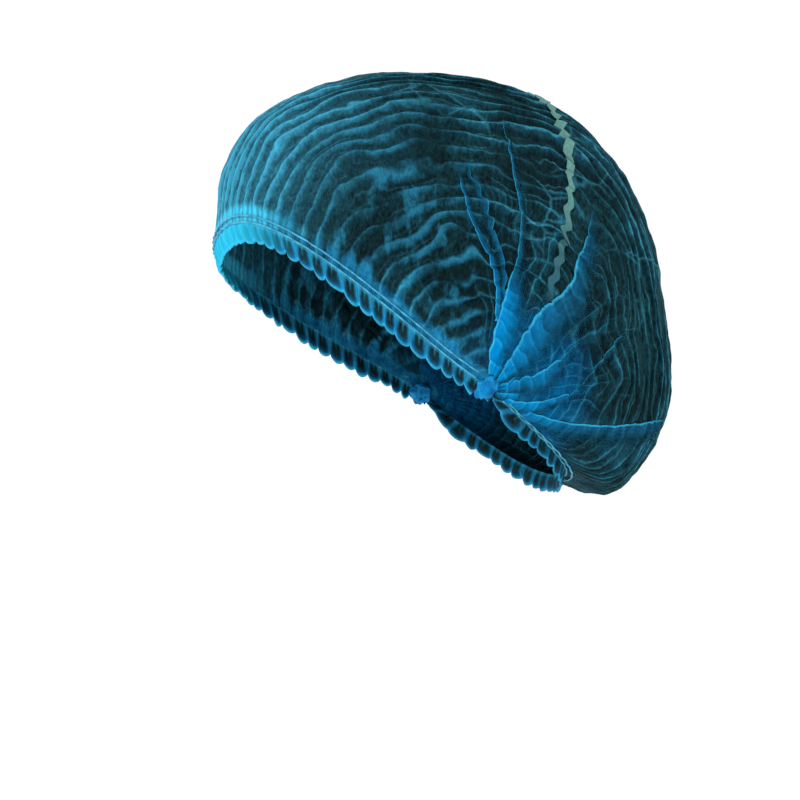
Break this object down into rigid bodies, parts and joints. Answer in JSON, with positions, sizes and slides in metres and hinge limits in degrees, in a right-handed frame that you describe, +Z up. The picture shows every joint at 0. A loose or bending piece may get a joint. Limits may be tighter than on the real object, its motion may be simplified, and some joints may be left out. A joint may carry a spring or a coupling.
{
  "type": "disposable hairnet",
  "caption": "Pleated nonwoven disposable cap in its worn shape: full crown with a sagging back, ruffled hems with elastic threads, welded ends behind the ears and a joining strip over the top.",
  "frame": {"origin": "the point inside the top of the crown that bears on the crown of the wearer's head", "axes": "+X to the wearer's left side, -Y to the forehead, +Y to the sagging back, +Z up"},
  "size_m": [0.1784, 0.2196, 0.2043],
  "materials": {
    "web": "thin translucent spunbond nonwoven, matte",
    "hem": "folded translucent nonwoven, matte",
    "elastic": "covered elastic thread, matte",
    "strip": "narrow pale joining strip, soft sheen",
    "weld": "gathered and heat-welded nonwoven, matte with a slight sheen"
  },
  "bodies": {
    "root": {"crown": "web", "front_hem": "hem", "rear_hem": "hem", "front_elastic_lower": "elastic", "front_elastic_upper": "elastic", "rear_elastic_lower": "elastic", "rear_elastic_upper": "elastic", "join_strip": "strip", "left_end_weld": "weld", "right_end_weld": "weld"}
  },
  "joints": []
}
